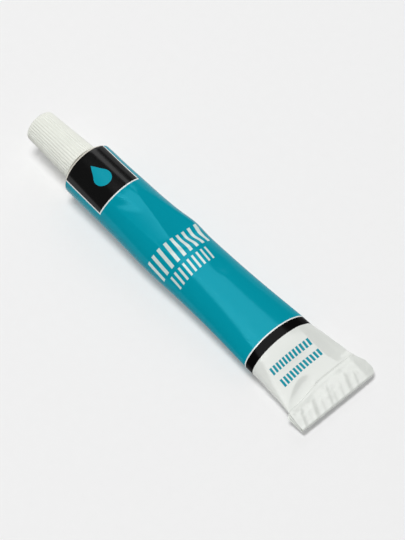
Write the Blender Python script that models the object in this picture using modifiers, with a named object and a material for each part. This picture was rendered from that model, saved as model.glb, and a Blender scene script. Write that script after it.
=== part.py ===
# Collapsible metal tube of adhesive lying on its side, with a twice-folded tail and a ribbed screw cap.
# The cap points to -X and the tail to +X. The underside rests on Z = 0.
import math

import bmesh
import bpy
from mathutils import Matrix, Vector

# Sizes in metres, angles in degrees
SLEEVE_DIAMETER = 0.019
SLEEVE_LENGTH = 0.1081
SLEEVE_WALL = 0.00012
FLATTEN_POWER = 0.38
LIFT_POWER = 12
TAIL_SLOPE = 0.27
TAIL_STEP = 0.00045
TAIL_BLEND = 0.0008
NOSE_PITCH = 2.5

SHOULDER_ANGLE = 20
SHOULDER_WALL = 0.0008
SHOULDER_ROUND = 0.0006

NECK_DIAMETER = 0.009
NECK_WALL = 0.0017
NECK_LENGTH = 0.008
NECK_CHAMFER = 0.0002

FOLD_DEPTH = 0.0083
FOLD_SHEET = 0.0004
FOLD_SLIT = 0.0001
FOLD_DROOP = 12
FOLD_RISE = 0.0011
FOLD_LIP_SETBACK = 0.0003
FOLD_END_SETBACK = 0.0003
FOLD_SQUARENESS = 0.25

MEMBRANE_THICKNESS = 0.0002
LINER_THICKNESS = 0.001
LINER_EDGE = 0.0001

CAP_LENGTH = 0.0216
CAP_WALL = 0.00165
CAP_TAPER = 2.86
CAP_THREAD_CLEARANCE = 0.0004
CAP_WEB = 0.0014
CAP_TIP_WALL = 0.0008
CAP_TIP_ROUND = 0.0003
CAP_BASE_ROUND = 0.0002
SPIKE_DIAMETER = 0.0032
SPIKE_TIP_DIAMETER = 0.0006
SPIKE_SETBACK = 0.0008
RIB_COUNT = 40
RIB_DIAMETER = 0.00066
RIB_HEIGHT = 0.00025
RIB_SETBACK = 0.0006

FILL_DROP = 0.0006
CLEARANCE = 0.0003

SIDES = 40
STATIONS = 14

# Derived sizes
sleeve_radius = SLEEVE_DIAMETER / 2
neck_radius = NECK_DIAMETER / 2
neck_bore = neck_radius - NECK_WALL
sheet_half = FOLD_SHEET / 2
fold_pitch = FOLD_SHEET + FOLD_SLIT
pitch = math.radians(NOSE_PITCH)
slope = math.tan(math.radians(SHOULDER_ANGLE))
slant = 1 / math.cos(math.radians(SHOULDER_ANGLE))
droop = math.radians(FOLD_DROOP)
nose = Vector((-math.cos(pitch), 0, math.sin(pitch)))
nose_up = Vector((math.sin(pitch), 0, math.cos(pitch)))

# Shoulder cone, as a height along the nose for a radius
round_end = math.radians(90 - SHOULDER_ANGLE)
cone_radius = sleeve_radius - SHOULDER_ROUND * (1 - math.cos(round_end))
cone_height = SHOULDER_ROUND * math.sin(round_end)


def shoulder_height(radius):
    return cone_height + (cone_radius - radius) * slope


# Stack along the nose, from the shoulder out to the cap's end
cap_bore = neck_radius + CAP_THREAD_CLEARANCE
neck_root = shoulder_height(neck_radius)
mouth = neck_root + NECK_LENGTH
cap_base = shoulder_height(cap_bore) + CLEARANCE
membrane_low = mouth + CLEARANCE
liner_low = membrane_low + MEMBRANE_THICKNESS + CLEARANCE
web_low = liner_low + LINER_THICKNESS + CLEARANCE
web_high = web_low + CAP_WEB
cap_end = cap_base + CAP_LENGTH
cap_radius = cap_bore + CAP_WALL
taper = math.tan(math.radians(CAP_TAPER))
end_radius = cap_radius - CAP_LENGTH * taper
recess_radius = end_radius - CAP_TIP_WALL

# Folded tail: the sheet runs back, turns up over itself, runs forward and tucks under
run_back = FOLD_DEPTH - fold_pitch - sheet_half
lip = FOLD_LIP_SETBACK + fold_pitch / 2 + sheet_half
fold_along = Vector((math.cos(droop), 0, -math.sin(droop)))
fold_up = Vector((math.sin(droop), 0, math.cos(droop)))
fold_front = FOLD_RISE + fold_pitch + sheet_half + run_back * math.sin(droop) - fold_pitch * math.cos(droop)
tail_lift = fold_front - sheet_half

# Place of the shoulder, so that the object is centred end to end
reach_front = cap_end * math.cos(pitch) + (end_radius - CAP_TIP_ROUND) * math.sin(pitch)
reach_back = SLEEVE_LENGTH + run_back * math.cos(droop) + fold_pitch * math.sin(droop) + fold_pitch + sheet_half
shoulder_x = (reach_front - reach_back) / 2


def section(half_width, half_height, squareness):
    points = []
    for side in range(SIDES):
        angle = 2 * math.pi * side / SIDES
        rise = round(math.sin(angle), 9)
        points.append((half_width * math.cos(angle), half_height * math.copysign(abs(rise) ** squareness, rise)))
    return points


def girth(points):
    return sum(math.dist(points[i - 1], points[i]) for i in range(len(points)))


full_girth = girth(section(sleeve_radius, sleeve_radius, 1))


# The sleeve can't stretch, so a flatter section is wider by as much as keeps its girth
def flattened_width(half_height, squareness):
    low = sleeve_radius * 0.9
    high = sleeve_radius * 1.7
    for _ in range(50):
        middle = (low + high) / 2
        if girth(section(middle, half_height, squareness)) < full_girth:
            low = middle
        else:
            high = middle
    return low


def ring(centre, up, half_width, half_height, squareness=1):
    side = Vector((0, 1, 0))
    return [centre + side * y + up * z for y, z in section(half_width, half_height, squareness)]


def nose_ring(height, radius):
    return ring(nose * height, nose_up, radius, radius)


# Half the sleeve's height: a long curve from the round end, then a straight slope down to the fold
def sleeve_half_height(share):
    if share == 1:
        return sheet_half
    curve = (sleeve_radius - sheet_half) * (1 - share) ** FLATTEN_POWER
    straight = TAIL_STEP + TAIL_SLOPE * SLEEVE_LENGTH * (1 - share)
    blend = min(max(0.5 + (straight - curve) / (2 * TAIL_BLEND), 0), 1)
    return sheet_half + straight + (curve - straight) * blend - TAIL_BLEND * blend * (1 - blend)


def sleeve_station(index, inset):
    share = 1 - (1 - index / STATIONS) ** 2
    half_height = sleeve_half_height(share)
    squareness = 1 + (FOLD_SQUARENESS - 1) * share ** LIFT_POWER
    half_width = flattened_width(half_height, squareness)
    tilt = pitch * (1 - share)
    height = tail_lift * share ** LIFT_POWER + half_height - sleeve_radius
    centre = Vector((SLEEVE_LENGTH * share, 0, height))
    up = Vector((math.sin(tilt), 0, math.cos(tilt)))
    return ring(centre, up, half_width - inset, half_height - inset, squareness)


def fold_rings():
    start = Vector((SLEEVE_LENGTH, 0, fold_front - sleeve_radius))
    half_width = flattened_width(sheet_half, FOLD_SQUARENESS)
    path = []
    for step in range(7):
        turn = math.pi * step / 6
        along = run_back + fold_pitch * math.sin(turn)
        path.append((along, fold_pitch * (1 - math.cos(turn)), turn))
    for step in range(7):
        turn = math.pi * step / 6
        along = lip - fold_pitch / 2 * math.sin(turn)
        path.append((along, fold_pitch * (1.5 + math.cos(turn) / 2), math.pi + turn))
    path.append((run_back - FOLD_END_SETBACK, fold_pitch, 2 * math.pi))
    rings = []
    for along, rise, turn in path:
        centre = start + fold_along * along + fold_up * rise
        up = fold_up * math.cos(turn) - fold_along * math.sin(turn)
        rings.append(ring(centre, up, half_width, sheet_half, FOLD_SQUARENESS))
    return rings


def inner_nose(inset, top):
    cone = shoulder_height(0) - (SHOULDER_WALL + inset) * slant
    bore = neck_bore - inset
    edge = sleeve_radius - SLEEVE_WALL - inset
    return [nose_ring(cone - edge * slope, edge), nose_ring(cone - bore * slope, bore), nose_ring(top, bore)]


def tube_rings():
    rings = [sleeve_station(index, SLEEVE_WALL) for index in range(STATIONS - 1, 0, -1)]
    rings += inner_nose(0, mouth)
    rings.append(nose_ring(mouth, neck_radius - NECK_CHAMFER))
    rings.append(nose_ring(mouth - NECK_CHAMFER, neck_radius))
    rings.append(nose_ring(neck_root, neck_radius))
    for step in range(4, -1, -1):
        angle = round_end * step / 4
        radius = sleeve_radius - SHOULDER_ROUND * (1 - math.cos(angle))
        rings.append(nose_ring(SHOULDER_ROUND * math.sin(angle), radius))
    rings += [sleeve_station(index, 0) for index in range(1, STATIONS + 1)]
    return rings + fold_rings()


def fill_rings():
    inset = SLEEVE_WALL + CLEARANCE
    rings = [sleeve_station(index, inset) for index in range(STATIONS - 2, 0, -1)]
    return rings + inner_nose(CLEARANCE, mouth - FILL_DROP)


def finish(mesh):
    mesh.shade_smooth()
    mesh.set_sharp_from_angle(angle=math.radians(35))


def principled(name, colour, roughness, metallic):
    made = bpy.data.materials.new(name)
    made.use_nodes = True
    shader = made.node_tree.nodes["Principled BSDF"]
    shader.inputs["Base Color"].default_value = (*colour, 1)
    shader.inputs["Roughness"].default_value = roughness
    shader.inputs["Metallic"].default_value = metallic
    return made


def empty(name, parent=None):
    made = bpy.data.objects.new(name, None)
    parts.objects.link(made)
    made.parent = parent
    return made


def put(name, mesh, parent, material=None, collection=None):
    made = bpy.data.objects.new(name, mesh)
    (collection or parts).objects.link(made)
    made.parent = parent
    if material:
        mesh.materials.append(material)
    return made


def loft(name, rings, parent, material):
    shape = bmesh.new()
    loops = [[shape.verts.new(point) for point in points] for points in rings]
    for first, second in zip(loops, loops[1:]):
        for side in range(SIDES):
            shape.faces.new((first[side - 1], first[side], second[side], second[side - 1]))
    shape.faces.new(loops[0])
    shape.faces.new(loops[-1])
    bmesh.ops.recalc_face_normals(shape, faces=shape.faces)
    mesh = bpy.data.meshes.new(name)
    shape.to_mesh(mesh)
    shape.free()
    finish(mesh)
    return put(name, mesh, parent, material)


def disc(name, radius, thickness, low, parent, material):
    shape = bmesh.new()
    bmesh.ops.create_cone(shape, cap_ends=True, segments=SIDES, radius1=radius, radius2=radius, depth=thickness)
    mesh = bpy.data.meshes.new(name)
    shape.to_mesh(mesh)
    shape.free()
    finish(mesh)
    made = put(name, mesh, parent, material)
    made.location.z = low + thickness / 2
    return made


def turned(name, profile, parent, material):
    mesh = bpy.data.meshes.new(name)
    edges = [(i, i + 1) for i in range(len(profile) - 1)]
    mesh.from_pydata([(radius, 0, height) for radius, height in profile], edges, [])
    made = put(name, mesh, parent, material)
    screw = made.modifiers.new("Turn", "SCREW")
    screw.steps = SIDES
    screw.render_steps = SIDES
    screw.use_merge_vertices = True
    screw.merge_threshold = 0.000001
    screw.use_smooth_shade = True
    return made


# One cup for the neck and one round the piercing spike, back to back on a web
def cap_profile():
    apex = cap_end - SPIKE_SETBACK
    points = [(0, apex)]
    points.append((SPIKE_TIP_DIAMETER / 2, apex))
    points.append((SPIKE_DIAMETER / 2, web_high))
    points.append((recess_radius, web_high))
    points.append((recess_radius, cap_end))
    for step in range(4):
        angle = math.pi / 2 * step / 3
        radius = end_radius - CAP_TIP_ROUND * (1 - math.sin(angle))
        points.append((radius, cap_end - CAP_TIP_ROUND * (1 - math.cos(angle))))
    points.append((cap_radius, cap_base + CAP_BASE_ROUND))
    points.append((cap_radius - CAP_BASE_ROUND, cap_base))
    points.append((cap_bore, cap_base))
    points.append((cap_bore, web_low))
    points.append((0, web_low))
    return points


def rib_ring(parent):
    low = cap_base + RIB_SETBACK
    high = cap_end - CAP_TIP_ROUND - RIB_SETBACK
    length = (high - low) / math.cos(math.radians(CAP_TAPER))
    shape = bmesh.new()
    bmesh.ops.create_cone(
        shape, cap_ends=True, segments=8, radius1=RIB_DIAMETER / 2, radius2=RIB_DIAMETER / 2, depth=length
    )
    middle = (low + high) / 2
    radius = cap_radius - (middle - cap_base) * taper + RIB_HEIGHT - RIB_DIAMETER / 2
    lean = Matrix.Rotation(-math.radians(CAP_TAPER), 4, "Y")
    shape.transform(Matrix.Translation((radius, 0, middle)) @ lean)
    mesh = bpy.data.meshes.new("ribs")
    shape.to_mesh(mesh)
    shape.free()
    made = put("ribs", mesh, parent, collection=cutters)
    made.hide_render = True
    made.display_type = "WIRE"
    step = empty("rib_step", parent)
    step.rotation_euler.z = 2 * math.pi / RIB_COUNT
    array = made.modifiers.new("Round", "ARRAY")
    array.count = RIB_COUNT
    array.use_relative_offset = False
    array.use_object_offset = True
    array.offset_object = step
    return made


for old in list(bpy.data.objects):
    bpy.data.objects.remove(old, do_unlink=True)

parts = bpy.data.collections.new("adhesive_tube")
cutters = bpy.data.collections.new("cutters")
bpy.context.scene.collection.children.link(parts)
bpy.context.scene.collection.children.link(cutters)

lacquer = principled("lacquer", (0.0, 0.31, 0.40), 0.35, 0.3)
foil = principled("foil", (0.80, 0.80, 0.82), 0.3, 1.0)
white_plastic = principled("white_plastic", (0.82, 0.82, 0.78), 0.45, 0.0)
wad = principled("wad", (0.88, 0.86, 0.80), 0.6, 0.0)
clear_glue = principled("clear_glue", (0.86, 0.80, 0.62), 0.15, 0.0)

shoulder = empty("shoulder")
shoulder.location = (shoulder_x, 0, sleeve_radius)
cap_axis = empty("cap_axis", shoulder)
cap_axis.rotation_euler.y = pitch - math.pi / 2

loft("tube_body", tube_rings(), shoulder, lacquer)
loft("adhesive_fill", fill_rings(), shoulder, clear_glue)
disc("seal_membrane", neck_radius - CLEARANCE, MEMBRANE_THICKNESS, membrane_low, cap_axis, foil)

liner = disc("cap_liner", cap_bore - CLEARANCE, LINER_THICKNESS, liner_low, cap_axis, wad)
edge = liner.modifiers.new("Edge", "BEVEL")
edge.width = LINER_EDGE
edge.segments = 1
edge.limit_method = "ANGLE"

cap = turned("screw_cap", cap_profile(), cap_axis, white_plastic)
grip = cap.modifiers.new("Grip", "BOOLEAN")
grip.operation = "UNION"
grip.solver = "EXACT"
grip.object = rib_ring(cap_axis)
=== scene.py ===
import math

import bpy
import numpy as np
from mathutils import Matrix, Vector


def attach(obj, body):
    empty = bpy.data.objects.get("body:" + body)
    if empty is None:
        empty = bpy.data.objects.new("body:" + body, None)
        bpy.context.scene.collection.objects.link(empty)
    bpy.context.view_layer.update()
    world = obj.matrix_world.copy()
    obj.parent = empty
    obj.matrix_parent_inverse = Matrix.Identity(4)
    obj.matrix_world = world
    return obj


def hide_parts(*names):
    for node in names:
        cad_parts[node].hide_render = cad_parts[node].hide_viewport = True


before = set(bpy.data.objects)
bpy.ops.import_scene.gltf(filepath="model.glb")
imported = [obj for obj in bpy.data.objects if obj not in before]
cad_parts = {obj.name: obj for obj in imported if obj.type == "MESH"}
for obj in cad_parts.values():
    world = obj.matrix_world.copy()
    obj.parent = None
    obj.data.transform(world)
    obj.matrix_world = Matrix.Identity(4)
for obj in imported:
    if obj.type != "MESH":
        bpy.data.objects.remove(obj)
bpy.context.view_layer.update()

# Shapes are worked out in millimetres and written to the meshes in metres
milli = 0.001


# One output socket, so that shader maths reads as plain sums
class Wire:
    def __init__(self, tree, socket=None):
        self.tree = tree
        self.socket = socket

    def node(self, kind, settings=None, sockets=None, output=0):
        made = self.tree.nodes.new(kind)
        for name, value in (settings or {}).items():
            setattr(made, name, value)
        for name, value in (sockets or {}).items():
            self.join(made.inputs[name], value)
        return Wire(self.tree, made.outputs[output])

    def join(self, socket, value):
        if isinstance(value, Wire):
            self.tree.links.new(value.socket, socket)
        else:
            socket.default_value = value

    def math(self, operation, first, second=0.0, clamp=False):
        settings = {"operation": operation, "use_clamp": clamp}
        return self.node("ShaderNodeMath", settings, {0: first, 1: second})

    def __add__(self, other):
        return self.math("ADD", self, other)

    def __radd__(self, other):
        return self.math("ADD", other, self)

    def __sub__(self, other):
        return self.math("SUBTRACT", self, other)

    def __rsub__(self, other):
        return self.math("SUBTRACT", other, self)

    def __mul__(self, other):
        return self.math("MULTIPLY", self, other)

    def __rmul__(self, other):
        return self.math("MULTIPLY", other, self)

    def __truediv__(self, other):
        return self.math("DIVIDE", self, other)

    def __rtruediv__(self, other):
        return self.math("DIVIDE", other, self)

    def __pow__(self, other):
        return self.math("POWER", self, other)

    def __abs__(self):
        return self.math("ABSOLUTE", self)

    def least(self, other):
        return self.math("MINIMUM", self, other)

    def most(self, other):
        return self.math("MAXIMUM", self, other)

    def wrapped(self):
        return self.math("FRACT", self)

    # 0 below the place, 1 above it
    def past(self, place, soft):
        return self.math("ADD", (self - place) / soft, 0.5, True)

    def between(self, low, high, soft):
        return self.past(low, soft).least(1 - self.past(high, soft))

    # This wire is the mask; a Mix node has its colours on inputs 6 and 7 and output 2
    def mixed(self, under, over):
        return self.node("ShaderNodeMix", {"data_type": "RGBA"}, {0: self, 6: under, 7: over}, 2)

    def blended(self, tones):
        return self.mixed(tone(*tones[0]), tone(*tones[1]))


# Screen levels of 0 to 255 to the linear values that shaders take
def linear(level):
    share = level / 255
    if share < 0.04045:
        return share / 12.92
    return ((share + 0.055) / 1.055) ** 2.4


def tone(red, green, blue):
    return linear(red), linear(green), linear(blue), 1.0


def newFinish(name):
    finish = bpy.data.materials.new(name)
    finish.use_nodes = True
    shader = finish.node_tree.nodes["Principled BSDF"]
    return finish, Wire(finish.node_tree), shader


def feed(wire, shader, sockets):
    for name, value in sockets.items():
        wire.join(shader.inputs[name], value)


def grain(wire, scale, detail=2.0):
    place = wire.node("ShaderNodeTexCoord", output="Object")
    return wire.node("ShaderNodeTexNoise", None, {"Vector": place, "Scale": scale, "Detail": detail})


def bumped(wire, height, strength, distance):
    sockets = {"Height": height, "Strength": strength, "Distance": distance}
    return wire.node("ShaderNodeBump", None, sockets)


def clearSelection():
    if bpy.context.mode != "OBJECT":
        bpy.ops.object.mode_set(mode="OBJECT")
    bpy.ops.object.select_all(action="DESELECT")


def editAll():
    bpy.ops.object.mode_set(mode="EDIT")
    bpy.ops.mesh.select_all(action="SELECT")


# A flat grid is rolled into a tube, row by row, and its seam is merged
def rollGrid(name, rows, columns):
    clearSelection()
    bpy.ops.mesh.primitive_grid_add(x_subdivisions=columns, y_subdivisions=len(rows) - 1, size=2)
    piece = bpy.context.object
    piece.name = name
    mesh = piece.data
    flat = np.empty(len(mesh.vertices) * 3)
    mesh.vertices.foreach_get("co", flat)
    flat = flat.reshape(-1, 3)
    column = np.rint((flat[:, 0] + 1) / 2 * columns).astype(int)
    row = np.rint((flat[:, 1] + 1) / 2 * (len(rows) - 1)).astype(int)
    points = np.array([r["points"] for r in rows])
    mesh.vertices.foreach_set("co", (points[row, column % columns] * milli).ravel())
    corner = np.empty(len(mesh.loops), int)
    mesh.loops.foreach_get("vertex_index", corner)
    around = np.array([r["around"] for r in rows])
    along = np.array([r["along"] for r in rows])
    wrap = mesh.uv_layers[0]
    wrap.name = "wrap"
    places = np.stack([around[row, column], along[row]], 1)[corner]
    wrap.data.foreach_set("uv", places.ravel())
    mesh.update()
    editAll()
    bpy.ops.mesh.remove_doubles(threshold=0.000001)
    bpy.ops.mesh.fill_holes(sides=0)
    bpy.ops.mesh.select_all(action="SELECT")
    bpy.ops.mesh.normals_make_consistent(inside=False)
    bpy.ops.object.mode_set(mode="OBJECT")
    return piece


def finishPiece(piece, finish, body, node, angle):
    clearSelection()
    piece.select_set(True)
    bpy.context.view_layer.objects.active = piece
    bpy.ops.object.shade_smooth_by_angle(angle=math.radians(angle))
    piece.data.materials.clear()
    piece.data.materials.append(finish)
    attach(piece, body)
    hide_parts(node)
    print(piece.name, len(piece.data.vertices), "points")


def ease(x):
    x = np.clip(x, 0, 1)
    return x * x * (3 - 2 * x)


viewPlace = {
    "azimuth": 49.485,
    "elevation": 55.491,
    "roll": -2.477,
    "distance": 1.028381,
    "aim": (0.005312, 0.003109, 0.003005),
    "lens": 214.5,
}

azimuth, elevation, roll = (math.radians(viewPlace[k]) for k in ("azimuth", "elevation", "roll"))
flatShare = math.cos(elevation)
backward = Vector((math.sin(azimuth) * flatShare, -math.cos(azimuth) * flatShare, math.sin(elevation)))
rightward = Vector((math.cos(azimuth), math.sin(azimuth), 0))
upward = backward.cross(rightward)
rightward, upward = (
    math.cos(roll) * rightward + math.sin(roll) * upward,
    math.cos(roll) * upward - math.sin(roll) * rightward,
)
clearSelection()
bpy.ops.object.camera_add(
    location=Vector(viewPlace["aim"]) + backward * viewPlace["distance"],
    rotation=Matrix((rightward, upward, backward)).transposed().to_euler(),
)
camera = bpy.context.object
camera.data.lens = viewPlace["lens"]
camera.data.clip_end = 20
bpy.context.scene.camera = camera
bpy.context.scene.view_settings.view_transform = "Standard"

# Each lamp has its place, its width and depth, and its power
studio = {
    "world": 0.15,
    "overhead": ((0.01, 0.23, 1.5), (1.05, 1.33), 7.2),
    "backLeft": ((-0.83, 0.84, 0.78), (0.7, 0.7), 2.0),
    "backLow": ((-0.55, 1.15, 0.2), (1.2, 0.36), 0.6),
    "zenith": ((-0.15, -0.26, 2.15), (0.8, 0.8), 39.9),
    "floorTones": ((238, 238, 238), (240, 240, 240)),
    "floorGlow": 0.3,
}

room = bpy.data.worlds.new("studioRoom")
room.use_nodes = True
bpy.context.scene.world = room
sky = room.node_tree.nodes["Background"]
sky.inputs["Color"].default_value = (1, 1, 1, 1)
sky.inputs["Strength"].default_value = studio["world"]


def softbox(name):
    place, (width, depth), power = studio[name]
    way = Vector(place)
    bpy.ops.object.light_add(type="AREA", location=way, rotation=way.to_track_quat("Z", "Y").to_euler())
    lamp = bpy.context.object
    lamp.name = name
    lamp.data.shape = "RECTANGLE"
    lamp.data.size = width
    lamp.data.size_y = depth
    lamp.data.energy = power
    return lamp


# The overhead box is there for its reflection, the zenith lamp for its light
softbox("overhead").visible_diffuse = False
softbox("backLeft")
softbox("backLow")
softbox("zenith").visible_glossy = False

bpy.ops.mesh.primitive_plane_add(size=8)
floor = bpy.context.object
floor.name = "paperFloor"
paper, wire, shader = newFinish("paper")
shade = grain(wire, 300).blended(studio["floorTones"])
feed(wire, shader, {"Base Color": shade, "Roughness": 0.9, "Specular IOR Level": 0.0})
# The paper glows a little where it is looked at, so its shadow stays soft
seen = wire.node("ShaderNodeLightPath", output="Is Camera Ray")
for ray in ("Is Glossy Ray", "Is Transmission Ray"):
    seen = seen.most(wire.node("ShaderNodeLightPath", output=ray))
glow = wire.node("ShaderNodeEmission", None, {"Color": shade})
lit = Wire(wire.tree, shader.outputs[0])
whole = wire.node("ShaderNodeMixShader", None, {0: seen * studio["floorGlow"], 1: lit, 2: glow})
wire.join(wire.tree.nodes["Material Output"].inputs["Surface"], whole)
floor.data.materials.append(paper)
print("camera, floor and light set")


# The tube: s runs along it from the shoulder, u around it from the top
skin = {
    "diameter": 19.0,
    "length": 108.1,
    "flatten": 0.38,
    "lift": 12,
    "pitch": 2.5,
    "squareEnd": 0.25,
    "shoulderX": -46.0704,
    "wall": 0.2,
    "sheet": 0.4,
    "tailShift": (1.5, 96, 12),  # amount, start and reach
    "tailSlant": (1.7, 98, 10),
    "slantSide": (2, 14),  # start and reach across
    "slantFade": 5,
    "tailStep": (0.3, 0.2),  # height and reach
    "tailSlope": 0.27,
    "tailBlend": (0.8, 0.1),  # most, and share of the length left
    "foldPitch": 0.5,
    "foldRun": 8.5,
    "foldDroop": 12,
    "foldRise": 1.6,
    "foldLip": -0.1,
    "lipPress": (0.35, 2.2),  # amount and reach
    "foldEnds": (-14.2, 15.4),
    "foldFlare": (0.4, 1.2, 0.05),  # step, reach and slope of the left end
    "foldLedge": 1.1,
    "ledgeFade": (-0.4, 1.6, 0.85),  # start and reach along, and loss
    "foldGape": (0.4, -12, 2.6),  # amount, start and reach across
    "earOut": (1.5, -0.2, 4.6),  # amount, start and reach along
    "earDroop": (0.6, 12.6, 4.5),  # amount, start and reach across
    "droopFade": (-1.5, 2.5),  # start and reach along
    "earCorner": 2.6,
    "shoulderRound": 0.85,
    "shoulderAngle": 20,
    "neckRadius": 4.5,
    "neckBore": 2.8,
    "threadRoot": 3.9,
    "threadLead": 1.75,
    "mouth": 10.24,
    # Swells of the two sides: place, reach and amount
    "rightSwells": (
        (0, 7, 0.4),
        (26, 9, -0.22),
        (40, 5, 0.6),
        (66, 22, -0.55),
        (97, 4.5, 0.75),
        (107.5, 2.5, -0.8),
    ),
    "leftSwells": (
        (16, 22, 0.3),
        (40, 13, 0.6),
        (74, 18, -0.25),
        (97, 5, -0.7),
        (108, 4, 0.9),
    ),
    "pressCurve": 22,
    "pressShallow": (0.75, -2.4, 0.05, 24),  # depth, middle, drift and where that is 0
    "pressDeep": (21.5, 0.09, 3.2),  # start, slope and middle
    "pressNotch": (19.5, -1.5, 9),  # place along, place around and fade
    "pressCrease": (49.4, 8, 0.02, 6),  # place along, place around, bow and fade
    "pressSide": 0.6,
    "dimple": (59, 5.0, 4.0, 4.5),  # place and reach along, place and reach around
    "dimpleDepth": 0.14,
    "ridge": (7.3, 1.6, 0.22),  # place, width and height
    "ridgeFlat": (0.5, 3.5),  # depth and reach
    "ridgeLean": (0.45, 104),  # slope and start
    "ridgeRun": (86, 9, 3),  # start, fade in and fade out
    "hollow": (107.5, 3.6, -8.6, 7.2),  # place and reach along, place and reach around
    "hollowTilt": 0.3,
    "hollowDepth": 0.6,
    # Flutes of the crimped fold: place, width, height and where each one starts
    "flutes": (
        (-11.8, 1.0, 0.27, 0.6),
        (-9.2, 0.6, 0.16, 2.2),
        (-7.0, 1.3, 0.34, 1.0),
        (-3.6, 0.8, 0.2, 2.8),
        (-0.6, 1.3, 0.33, 1.6),
        (1.4, 0.6, 0.14, 3.4),
        (4.2, 0.9, 0.25, 2.2),
        (7.0, 1.4, 0.32, 1.4),
        (10.4, 0.8, 0.18, 2.6),
    ),
    "fluteDrift": (0.4, 4),  # slope and where it is 0
    "fluteFade": 2.2,
    "columns": 200,
    "rows": 170,
}

sleeveRadius = skin["diameter"] / 2
halfSheet = skin["sheet"] / 2
pitch = math.radians(skin["pitch"])
noseWay = np.array((-math.cos(pitch), 0, math.sin(pitch)))
noseUp = np.array((math.sin(pitch), 0, math.cos(pitch)))
sideWay = np.array((0.0, 1.0, 0.0))
shoulderPoint = np.array((skin["shoulderX"], 0, sleeveRadius))
droop = math.radians(skin["foldDroop"])
foldAlong = np.array((math.cos(droop), 0, -math.sin(droop)))
foldUp = np.array((math.sin(droop), 0, math.cos(droop)))
foldHigh = skin["foldRise"] + halfSheet + skin["foldRun"] * math.sin(droop)
foldHigh += skin["foldPitch"] * (1 - math.cos(droop))
foldStart = np.array((skin["shoulderX"] + skin["length"], 0, foldHigh))
tailLift = foldHigh - halfSheet
unprinted = -60  # places from here down belong to the inside, which has no print


def section(angles, halfWidth, halfHeight, square):
    rise = np.round(np.sin(angles), 9)
    return halfWidth * np.cos(angles), halfHeight * np.sign(rise) * np.abs(rise) ** square


fineAngles = np.linspace(0, 2 * math.pi, 721)


def girth(halfWidth, halfHeight, square):
    y, z = section(fineAngles, halfWidth, halfHeight, square)
    return np.hypot(np.diff(y), np.diff(z)).sum()


# The metal can't stretch, so the width follows from the girth
def widthFor(halfHeight, square):
    low, high = sleeveRadius * 0.9, sleeveRadius * 1.7
    for turn in range(40):
        middle = (low + high) / 2
        if girth(middle, halfHeight, square) < math.pi * skin["diameter"]:
            low = middle
        else:
            high = middle
    return low


def columnAngles(columns):
    return np.linspace(-math.pi / 2, 1.5 * math.pi, columns + 1)


def aroundTop(y, z):
    steps = np.hypot(np.diff(y), np.diff(z))
    travelled = np.concatenate([[0], np.cumsum(steps)])
    return travelled[len(y) // 2] - travelled


# 1 in the middle of an oval and 0 at its edge
def oval(s, u, midS, reachS, midU, reachU):
    return np.clip(1 - ((s - midS) / reachS) ** 2 - ((u - midU) / reachU) ** 2, 0, None)


# Outward travel of the metal, from handling
def handled(s, u):
    # Thumb press on top: a flat facet with a notched front, a deeper one beside it, a short crease out
    notchS, notchU, notchFade = skin["pressNotch"]
    front = ease((s - notchS + np.abs(u - notchU)) / notchFade)
    shallowDepth, shallowU, drift, driftS = skin["pressShallow"]
    shallow = shallowDepth - (u - shallowU - drift * (s - driftS)) ** 2 / skin["pressCurve"]
    deepS, deepSlope, deepU = skin["pressDeep"]
    deep = deepSlope * (s - deepS) - (u - deepU) ** 2 / skin["pressCurve"]
    creaseS, creaseU, creaseBow, creaseFade = skin["pressCrease"]
    crease = ease((creaseS - creaseBow * (u - creaseU) ** 2 - s) / creaseFade)
    out = -np.clip(np.maximum(shallow * front, deep), 0, None) * crease
    out -= skin["dimpleDepth"] * oval(s, u, *skin["dimple"]) ** 2
    # Ridge on the flattened tail, with a flat side beyond it
    ridgeU, ridgeWidth, ridgeHeight = skin["ridge"]
    lean, leanStart = skin["ridgeLean"]
    beyond = u - ridgeU - lean * max(s - leanStart, 0)
    start, fadeIn, fadeOut = skin["ridgeRun"]
    tail = ease((s - start) / fadeIn) * ease((skin["length"] - s) / fadeOut)
    flatDepth, flatReach = skin["ridgeFlat"]
    out += ridgeHeight * np.exp(-np.abs(beyond) / ridgeWidth) * tail
    out -= flatDepth * np.clip(beyond / flatReach, 0, 1) * tail
    # Hollow in front of the fold, slanted to its left corner
    hollowU = skin["hollow"][2]
    return out - skin["hollowDepth"] * oval(s + skin["hollowTilt"] * (u - hollowU), u, *skin["hollow"])


# Half the height: full at the shoulder, then a straight slope down to the fold
def heightAt(s):
    left = skin["length"] - s
    body = (sleeveRadius - halfSheet) * (left / skin["length"]) ** skin["flatten"]
    step, stepReach = skin["tailStep"]
    slope = step * (1 - math.exp(-left / stepReach)) + skin["tailSlope"] * left
    blend, blendShare = skin["tailBlend"]
    soft = min(blend, left * blendShare) + 1e-6
    share = min(max(0.5 + (slope - body) / (2 * soft), 0), 1)
    return halfSheet + slope * (1 - share) + body * share - soft * share * (1 - share)


# Share of the slant: the tail runs on farther at its left end
def leftward(y):
    start, reach = skin["slantSide"]
    return ease((start - y) / reach)


def swell(s, side):
    return sum(amount * math.exp(-((s - place) / reach) ** 2) for place, reach, amount in skin[side])


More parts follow.
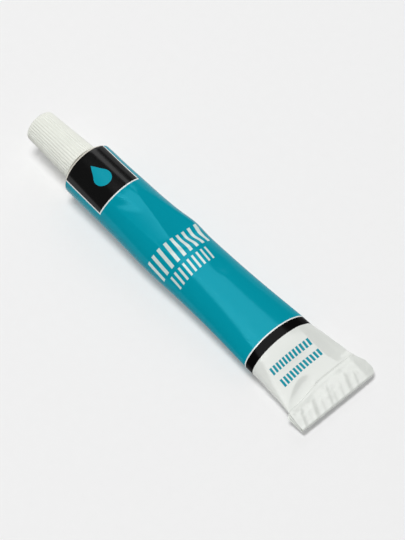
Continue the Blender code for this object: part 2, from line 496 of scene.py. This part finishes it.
def sleeveRow(s, columns, inset=0.0):
    share = s / skin["length"]
    halfHeight = heightAt(s)
    square = 1 + (skin["squareEnd"] - 1) * share ** skin["lift"]
    halfWidth = widthFor(halfHeight, square)
    y, z = section(columnAngles(columns), halfWidth, halfHeight, square)
    around = aroundTop(y, z)
    slopeY, slopeZ = np.gradient(y), np.gradient(z)
    length = np.maximum(np.hypot(slopeY, slopeZ), 1e-9)
    # The marks fade out down the sides, and the inside keeps clear of the middle
    onTop = ease((z / halfHeight + skin["pressSide"]) / skin["pressSide"])
    out = handled(s, around) * onTop - min(inset, halfHeight * 0.8)
    out = np.maximum(out, -halfHeight)
    y = y + slopeZ / length * out
    z = z - slopeY / length * out
    rightOut = swell(s, "rightSwells") * ease(y / halfWidth)
    leftOut = swell(s, "leftSwells") * ease(-y / halfWidth)
    shift, shiftStart, shiftReach = skin["tailShift"]
    y = y + rightOut - leftOut + shift * ease((s - shiftStart) / shiftReach)
    tilt = pitch * (1 - share)
    up = np.array((math.sin(tilt), 0, math.cos(tilt)))
    middle = np.array((skin["shoulderX"] + s, 0, tailLift * share ** skin["lift"] + halfHeight))
    slant, slantStart, slantReach = skin["tailSlant"]
    back = slant * leftward(y) * ease((s - slantStart) / slantReach)
    points = middle + np.outer(y, sideWay) + np.outer(z, up) + np.outer(back, foldAlong)
    return {"points": points, "around": around, "along": unprinted - s if inset else s}


def noseRow(height, radius, columns, along):
    angles = columnAngles(columns)
    radius = radius * np.ones_like(angles)
    ring = np.outer(radius * np.cos(angles), sideWay) + np.outer(radius * np.sin(angles), noseUp)
    around = (math.pi / 2 - angles) * sleeveRadius
    return {"points": shoulderPoint + height * noseWay + ring, "around": around, "along": along}


# Wave of a right-hand thread, 0 in the groove and 1 on the crest
def threadWave(height, angles, flat, flank):
    phase = (height / skin["threadLead"] - (math.pi / 2 - angles) / (2 * math.pi)) % 1.0
    return ease((flat / 2 + flank - np.abs(phase - 0.5)) / flank)


# Ends of the folded strip: nearly straight on the left, an ear with a round corner on the right
def foldEnds(along):
    left, right = skin["foldEnds"]
    step, stepReach, slope = skin["foldFlare"]
    left -= step * ease(along / stepReach) + slope * along
    corner = skin["earCorner"]
    over = max(along - skin["foldRun"] - skin["foldPitch"] - 0.1 + corner, 0)
    out, start, reach = skin["earOut"]
    right += out * ease((along - start) / reach) - corner + math.sqrt(corner ** 2 - over ** 2)
    return left, right


# Crimping left a row of uneven flutes
def crimp(along, across):
    rise = np.zeros_like(across)
    drift, driftAlong = skin["fluteDrift"]
    for place, wide, high, first in skin["flutes"]:
        offset = np.abs(across - place + drift * (along - driftAlong)) / wide
        shape = 0.6 * np.exp(-offset ** 2) + 0.4 * np.exp(-1.6 * offset)
        rise += high * shape * ease((along - first) / skin["fluteFade"])
    return rise


# The strip runs out flat, turns back over itself, and tucks its end in between
def foldPath():
    run, lip, step = skin["foldRun"], skin["foldLip"], skin["foldPitch"]
    turns = np.linspace(0, math.pi, 11)
    path = [(along, 0.0, 0.0) for along in np.linspace(0.6, run - 0.4, 9)]
    path += [(run + step * math.sin(t), step * (1 - math.cos(t)), t) for t in turns]
    path += [(along, 2 * step, math.pi) for along in np.linspace(run - 0.4, lip + 0.4, 10)]
    path += [(lip - step / 2 * math.sin(t), step * (1.5 + math.cos(t) / 2), math.pi + t) for t in turns]
    path += [(along, step, 2 * math.pi) for along in np.linspace(lip + 0.5, run - 0.3, 5)]
    return path


def foldRows(columns):
    halfWidth = widthFor(halfSheet, skin["squareEnd"])
    y, z = section(columnAngles(columns), halfWidth, halfSheet, skin["squareEnd"])
    around = aroundTop(y, z)
    earDroop, droopStart, droopReach = skin["earDroop"]
    fadeStart, fadeReach = skin["droopFade"]
    gape, gapeStart, gapeReach = skin["foldGape"]
    ledgeStart, ledgeReach, ledgeLoss = skin["ledgeFade"]
    press, pressReach = skin["lipPress"]
    slant, slantFade = skin["tailSlant"][0], skin["slantFade"]
    rows = []
    gone = skin["length"]
    last = None
    for along, rise, turn in foldPath():
        here = np.array((along, rise))
        if last is not None:
            gone += np.hypot(*(here - last))
        last = here
        up = foldUp * math.cos(turn) - foldAlong * math.sin(turn)
        # The lower layer stands out at the left end, and the upper one gapes there
        layer = rise / (2 * skin["foldPitch"])
        spread = ease((along - ledgeStart) / ledgeReach)
        spread *= np.clip(1 - ledgeLoss * along / skin["foldRun"], 0, 1)
        left, right = foldEnds(along)
        left -= skin["foldLedge"] * spread * (1 - layer)
        across = (left + right) / 2 + y * (right - left) / (2 * halfWidth)
        rolls = crimp(along, across)
        fade = ease((along - fadeStart) / fadeReach)
        rolls -= earDroop * ease((across - droopStart) / droopReach) * fade
        rolls += gape * spread * layer * ease((gapeStart - across) / gapeReach)
        rolls -= press * min(2 * layer, 1) * ease(1 - (along - skin["foldLip"]) / pressReach)
        back = slant * leftward(across) * ease((slantFade - along) / slantFade)
        points = foldStart + foldAlong * along + foldUp * rise
        points = points + np.outer(across, sideWay) + np.outer(z, up)
        points = points + np.outer(rolls, foldUp) + np.outer(back, foldAlong)
        rows.append({"points": points, "around": around, "along": gone})
    return rows


# From the inside of the tail, through the neck, and back over the outside to the fold.
# Far below 0 along there is bare metal, so those places only have to keep their order
def skinRows():
    columns = skin["columns"]
    angles = columnAngles(columns)
    bore, root, mouth = skin["neckBore"], skin["threadRoot"], skin["mouth"]
    tangent = math.tan(math.radians(skin["shoulderAngle"]))
    turnEnd = math.radians(90 - skin["shoulderAngle"])
    bend = skin["shoulderRound"]
    coneRadius = sleeveRadius - bend * (1 - math.cos(turnEnd))
    coneHeight = bend * math.sin(turnEnd)
    neckRoot = coneHeight + (coneRadius - skin["neckRadius"]) * tangent
    rows = [sleeveRow(s, columns, skin["wall"]) for s in np.linspace(skin["length"] * 0.985, 1.0, 46)]
    rows.append(noseRow(coneHeight - 0.75, coneRadius - 0.1, columns, unprinted))
    rows.append(noseRow(neckRoot - 0.3, bore + 0.35, columns, -58))
    rows.append(noseRow(neckRoot + 0.3, bore, columns, -56))
    straight = np.linspace(neckRoot + 2, mouth - 0.15, 5)
    rows += [noseRow(height, bore, columns, -50) for height in straight]
    rows.append(noseRow(mouth, bore + 0.15, columns, -40))
    rows.append(noseRow(mouth, root - 0.25, columns, -30))
    for height in np.linspace(mouth - 0.05, neckRoot + 0.25, 48):
        fade = ease((mouth - 0.3 - height) / 0.9) * ease((height - neckRoot - 0.9) / 0.9)
        wave = threadWave(height, angles, 0.12, 0.24) * fade
        edge = 0.2 * (1 - ease((mouth - height) / 0.3))
        radius = root - edge + (skin["neckRadius"] - root) * wave
        rows.append(noseRow(height, radius, columns, mouth - height - 20))
    for radius in np.linspace(root + 0.25, coneRadius, 8):
        height = coneHeight + (coneRadius - radius) * tangent
        rows.append(noseRow(height, radius, columns, radius - coneRadius - 1.2))
    for turn in np.linspace(turnEnd, 0, 8)[1:-1]:
        radius = sleeveRadius - bend * (1 - math.cos(turn))
        rows.append(noseRow(bend * math.sin(turn), radius, columns, -bend * turn))
    shares = np.linspace(0, 1, skin["rows"])
    rows += [sleeveRow(skin["length"] * (1 - (1 - share) ** 1.35), columns) for share in shares]
    return rows + foldRows(columns)


# Places on the unrolled sheet: "along" from the shoulder to the tail, "around" from the top.
# Bars: where they start and end along, their first and last step around, spacing, share and slant
printing = {
    "teal": (0, 151, 170),
    "black": (5, 5, 5),
    "white": (224, 227, 222),
    "line": (238, 242, 240),
    "bars": (212, 227, 223),
    "ink": (0, 145, 162),
    "metal": (224, 219, 208),
    "soft": 0.12,
    "panel": (17.5, -11.8, 6.9, 0.45),  # end along, two sides around and border
    "panelBow": (0.006, -2),  # bend and its middle
    "drop": (10.2, -2.4, 3.0),  # along, around and size
    "bigBars": (41.5, 49.5, -5, 4, 2.67, 0.44, 0.12),
    "smallBars": (51.0, 56.0, -6, 3, 1.9, 0.4, 0.12),
    "band": (87.5, 90.7, 0.42),  # start, end and rim
    "bandBow": (0.0052, 0.6),
    "tailBars": (
        (95.6, 98.0, -7, 5, 1.45, 0.62, 0.1),
        (100.0, 102.3, -7, 5, 1.45, 0.62, 0.1),
    ),
    "creased": 119.5,
    "roughness": 0.11,
    "flake": 0.13,  # share of metal in the colour of the sleeve
    "gloss": (0.075, 0.3, 0.725),  # all over, and what the panel and the tail add
    "coatRoughness": 0.14,
    "coatIndex": 1.8,
    "shine": 0.03,
}


def printedFinish():
    finish, wire, shader = newFinish("printedLacquer")
    sheet = wire.node("ShaderNodeUVMap", {"uv_map": "wrap"})
    around = wire.node("ShaderNodeSeparateXYZ", None, {0: sheet}, "X")
    along = wire.node("ShaderNodeSeparateXYZ", None, {0: sheet}, "Y")
    tones = ("teal", "black", "white", "line", "bars", "ink", "metal")
    teal, black, white, line, pale, ink, metal = (tone(*printing[name]) for name in tones)
    soft = printing["soft"]

    # Panel with a border and a droplet
    end, left, right, border = printing["panel"]
    bend, middle = printing["panelBow"]
    reach = along + bend * (around - middle) ** 2
    outer = around.between(left - border, right + border, soft).least(1 - reach.past(end + border, soft))
    inner = around.between(left, right, soft).least(1 - reach.past(end, soft))
    dropAlong, dropAround, dropSize = printing["drop"]
    bulge = 1 - (((along - dropAlong) ** 2 + (around - dropAround) ** 2) ** 0.5).past(dropSize, soft)
    fromPoint = (along - (dropAlong - dropSize * 2)).most(0.0)
    tip = (fromPoint * 0.577 - abs(around - dropAround)).past(soft, soft)
    drop = bulge.most(tip.least(1 - along.past(dropAlong - dropSize / 2, soft)))

    def bars(low, high, first, final, spacing, share, slant):
        steps = (around + (along - low) * slant) / spacing
        strokes = 1 - abs(steps.wrapped() - 0.5).past(share / 2, soft / spacing)
        row = along.between(low, high, soft).least(steps.between(first, final, soft / spacing))
        return strokes.least(row)

    colour = outer.mixed(teal, line)
    colour = inner.mixed(colour, black)
    colour = drop.mixed(colour, teal)
    colour = bars(*printing["bigBars"]).most(bars(*printing["smallBars"])).mixed(colour, pale)
    # Dark band with a pale edge, and the white tail past it
    start, stop, rim = printing["band"]
    bend, middle = printing["bandBow"]
    fromBand = along - (start + bend * (around - middle) ** 2)
    band = fromBand.past(0.0, soft)
    tail = fromBand.past(stop - start, soft)
    colour = fromBand.between(-rim, 0.2, soft).mixed(colour, line)
    colour = band.mixed(colour, black)
    colour = tail.mixed(colour, white)
    firstBars, lastBars = printing["tailBars"]
    thin = bars(*firstBars).most(bars(*lastBars))
    colour = thin.mixed(colour, ink)
    # Bare metal on the shoulder and neck
    bare = 1 - along.past(-0.1, 0.15)
    colour = bare.mixed(colour, metal)

    cloud = grain(wire, 90, 3)
    fine = grain(wire, 2600, 2)
    creased = grain(wire, 430, 1.5) * along.past(printing["creased"], 2.5)
    flake = printing["flake"] * (1 - inner.most(band).most(tail))
    baseGloss, panelGloss, tailGloss = printing["gloss"]
    gloss = baseGloss + panelGloss * inner + tailGloss * tail * (1 - 0.9 * thin)
    feed(wire, shader, {
        "Base Color": colour,
        "Roughness": printing["roughness"] + 0.05 * cloud + 0.03 * fine,
        "Metallic": (bare * (0.75 - 0.55 * along.past(-1.1, 0.2))).most(flake),
        "Coat Weight": gloss * (1 - bare),
        "Normal": bumped(wire, (fine * 0.5 + cloud) * 0.1 + creased * 5.0, 1.0, 0.0001),
        "Specular IOR Level": printing["shine"],
        "Coat Roughness": printing["coatRoughness"],
        "Coat IOR": printing["coatIndex"],
    })
    return finish


tubeSkin = rollGrid("tubeSkin", skinRows(), skin["columns"])
finishPiece(tubeSkin, printedFinish(), "tube", "tube_body", 40)


glue = {
    "gap": 0.45,
    "front": 1.5,
    "back": 103.0,
    "shoulder": ((0.05, 8.1), (1.55, 3.4)),  # height and radius
    "neck": 2.45,
    "neckFrom": 2.6,
    "top": 9.6,
    "columns": 96,
    "rows": 60,
    "tones": ((226, 204, 150), (236, 220, 176)),
}


def glueRows():
    columns, top, neck = glue["columns"], glue["top"], glue["neck"]
    places = np.linspace(glue["back"], glue["front"], glue["rows"])
    rows = [sleeveRow(s, columns, glue["gap"]) for s in places]
    rows += [noseRow(height, radius, columns, 0) for height, radius in glue["shoulder"]]
    straight = np.linspace(glue["neckFrom"], top - 0.2, 6)
    rows += [noseRow(height, neck, columns, 0) for height in straight]
    rows.append(noseRow(top, neck - 0.25, columns, 0))
    rows.append(noseRow(top - 0.1, 0.4, columns, 0))
    return rows


def glueFinish():
    finish, wire, shader = newFinish("clearGlue")
    cloud = grain(wire, 180, 3)
    feed(wire, shader, {
        "Base Color": cloud.blended(glue["tones"]),
        "Roughness": 0.08 + 0.06 * cloud,
        "Normal": bumped(wire, cloud, 0.2, 0.0002),
    })
    return finish


glueFill = rollGrid("glueFill", glueRows(), glue["columns"])
finishPiece(glueFill, glueFinish(), "tube", "adhesive_fill", 50)


# Pieces turned about the nose are drawn upright and then laid into place
def layOnNose(piece):
    clearSelection()
    piece.select_set(True)
    bpy.context.view_layer.objects.active = piece
    place = Matrix((noseUp, sideWay, noseWay)).transposed().to_4x4()
    place.translation = Vector(shoulderPoint) * milli
    piece.matrix_world = place
    bpy.ops.object.transform_apply(location=True, rotation=True, scale=True)


def uprightRing(name, sides, radius, height, fill):
    clearSelection()
    bpy.ops.mesh.primitive_circle_add(
        vertices=sides,
        radius=radius * milli,
        fill_type=fill,
        location=(0, 0, height * milli),
    )
    piece = bpy.context.object
    piece.name = name
    bpy.ops.object.transform_apply(location=True)
    editAll()
    return piece


# A disc is drawn up to its far face, whose rings are then drawn in and pushed by a step
def pressDisc(name, disc):
    piece = uprightRing(name, 96, disc["radius"], disc["near"], "NGON")
    rise = (disc["far"] - disc["near"]) * milli
    bpy.ops.mesh.extrude_region_move(TRANSFORM_OT_translate={"value": (0, 0, rise)})
    for width, step in disc["rings"]:
        bpy.ops.mesh.inset(thickness=width * milli)
        bpy.ops.transform.translate(value=(0, 0, step * milli))
    bpy.ops.mesh.select_all(action="SELECT")
    bpy.ops.mesh.normals_make_consistent(inside=False)
    bpy.ops.object.mode_set(mode="OBJECT")
    soften = piece.modifiers.new("soften", "BEVEL")
    soften.width = disc["edge"] * milli
    soften.segments = 2
    soften.limit_method = "ANGLE"
    bpy.ops.object.modifier_apply(modifier=soften.name)
    layOnNose(piece)
    return piece


foil = {
    "radius": 4.2,
    "near": 10.26,
    "far": 10.5,
    # Width and step of each ring, from the edge in
    "rings": ((0.5, 0.0), (0.15, 0.16), (1.6, 0.0), (0.2, -0.07), (0.5, 0.0), (0.2, 0.07)),
    "edge": 0.04,
    "tones": ((196, 197, 200), (222, 223, 226)),
}


def foilFinish():
    finish, wire, shader = newFinish("softFoil")
    streak = grain(wire, 900, 3)
    cloud = grain(wire, 240, 2)
    feed(wire, shader, {
        "Base Color": cloud.blended(foil["tones"]),
        "Roughness": 0.22 + 0.2 * streak,
        "Normal": bumped(wire, cloud + streak * 0.4, 0.25, 0.0001),
        "Metallic": 1.0,
    })
    return finish


sealFoil = pressDisc("sealFoil", foil)
finishPiece(sealFoil, foilFinish(), "tube", "seal_membrane", 30)


wad = {
    "radius": 4.8,
    "near": 12.3,
    "far": 11.04,
    "rings": ((0.55, 0.0), (0.12, 0.07), (1.1, 0.0), (0.12, -0.07)),
    "edge": 0.05,
    "tones": ((228, 224, 212), (238, 236, 228)),
}


def wadFinish():
    finish, wire, shader = newFinish("foamWad")
    place = wire.node("ShaderNodeTexCoord", output="Object")
    cells = wire.node("ShaderNodeTexVoronoi", None, {"Vector": place, "Scale": 3800})
    feed(wire, shader, {
        "Base Color": cells.blended(wad["tones"]),
        "Roughness": 0.6 + 0.2 * cells,
        "Normal": bumped(wire, cells, 0.4, 0.00006),
    })
    return finish


linerWad = pressDisc("linerWad", wad)
finishPiece(linerWad, wadFinish(), "liner", "cap_liner", 30)


cap = {
    "ribs": 40,
    "ribColumns": 10,
    "ribHeight": 0.17,
    "ribTurn": -1.0,
    "base": 2.394,
    "end": 23.994,
    "baseRadius": 6.55,
    "endRadius": 5.471,
    "bore": 4.9,
    "web": (12.34, 13.74),  # its two faces
    "rim": 1.0,
    "tipRound": 0.75,
    "spike": (1.6, 0.3, 0.8),  # radius of its foot and point, and how far it is set back
    "thread": 0.6,
    "tones": ((227, 229, 220), (235, 237, 229)),
}


def capWall(height):
    share = (height - cap["base"]) / (cap["end"] - cap["base"])
    return cap["baseRadius"] + (cap["endRadius"] - cap["baseRadius"]) * share


# Points of the wall with neither rib nor thread
def plain(*points):
    return [(radius, height, 0, 0) for radius, height in points]


# Radius, height, share of the rib and share of the thread: out of the well, up the wall, into the tip
def capProfile():
    base, end, bore = cap["base"], cap["end"], cap["bore"]
    low, high = cap["web"]
    foot, point, setback = cap["spike"]
    bend = cap["tipRound"]
    inner = cap["endRadius"] - cap["rim"]
    top = end - setback
    rows = plain((0.3, low), (2.4, low), (4.72, low), (bore - 0.04, low - 0.06), (bore, low - 0.3))
    for height in np.linspace(11.2, base + 0.6, 46):
        rows.append((bore, height, 0, ease((height - base - 0.9) / 0.8) * ease((10.6 - height) / 0.8)))
    rows += plain((bore + 0.05, base + 0.2), (bore + 0.25, base), (capWall(base) - 0.3, base))
    rows += plain((capWall(base) - 0.09, base + 0.07))
    rows.append((capWall(base), base + 0.25, 0.15, 0))
    for rise, share in ((0.45, 0.55), (0.7, 0.9), (1.0, 1.0)):
        rows.append((capWall(base + rise), base + rise, share, 0))
    rows += [(capWall(height), height, 1.0, 0) for height in np.linspace(base + 2, end - bend - 0.8, 9)]
    for turn in np.linspace(0, math.pi / 2, 8):
        height = end - bend * (1 - math.sin(turn))
        rows.append((capWall(height) - bend * (1 - math.cos(turn)), height, 1 - ease(turn / 1.35), 0))
    rows += plain((inner + 0.05, end), (inner, end - 0.1), (inner - 0.05, high + 1))
    rows += plain((inner - 0.1, high + 0.25), (inner - 0.35, high))
    rows += plain((foot + 0.3, high), (foot, high + 0.3))
    rows += plain((point + 0.25, top - 1.2), (point, top - 0.15), (point * 0.5, top))
    return rows


def buildCap():
    rows = capProfile()
    columns = cap["ribs"] * cap["ribColumns"]
    piece = uprightRing("capShell", columns, rows[0][0], rows[0][1], "NOTHING")
    for before, after in zip(rows, rows[1:]):
        rise = (after[1] - before[1]) * milli
        bpy.ops.mesh.extrude_edges_move(TRANSFORM_OT_translate={"value": (0, 0, rise)})
        grow = after[0] / before[0]
        bpy.ops.transform.resize(value=(grow, grow, 1), center_override=(0, 0, after[1] * milli))
    bpy.ops.object.mode_set(mode="OBJECT")
    # Ribs outside and the thread inside are drawn out of the turned wall
    points = np.empty(len(piece.data.vertices) * 3)
    piece.data.vertices.foreach_get("co", points)
    points = points.reshape(len(rows), columns, 3)
    for ring, (radius, height, ribbed, threaded) in zip(points, rows):
        angles = np.arctan2(ring[:, 1], ring[:, 0])
        turn = ((np.degrees(angles) - cap["ribTurn"]) * cap["ribs"] / 360 + 0.5) % 1 - 0.5
        crest = 1 - np.abs(np.sin(math.pi * turn)) ** 3
        groove = 1 - threadWave(height, math.pi / 2 - angles, 0.42, 0.22)
        gain = 1 + (ribbed * cap["ribHeight"] * crest - threaded * cap["thread"] * groove) / radius
        ring[:, 0] *= gain
        ring[:, 1] *= gain
    piece.data.vertices.foreach_set("co", points.ravel())
    piece.data.update()
    editAll()
    bpy.ops.mesh.fill_holes(sides=0)
    bpy.ops.mesh.select_all(action="SELECT")
    bpy.ops.mesh.normals_make_consistent(inside=False)
    layOnNose(piece)
    return piece


def capFinish():
    finish, wire, shader = newFinish("capPlastic")
    cloud = grain(wire, 120, 3)
    feed(wire, shader, {
        "Base Color": cloud.blended(cap["tones"]),
        "Roughness": 0.4 + 0.12 * cloud,
        "Normal": bumped(wire, cloud, 0.05, 0.00005),
    })
    return finish


capShell = buildCap()
finishPiece(capShell, capFinish(), "cap", "screw_cap", 50)
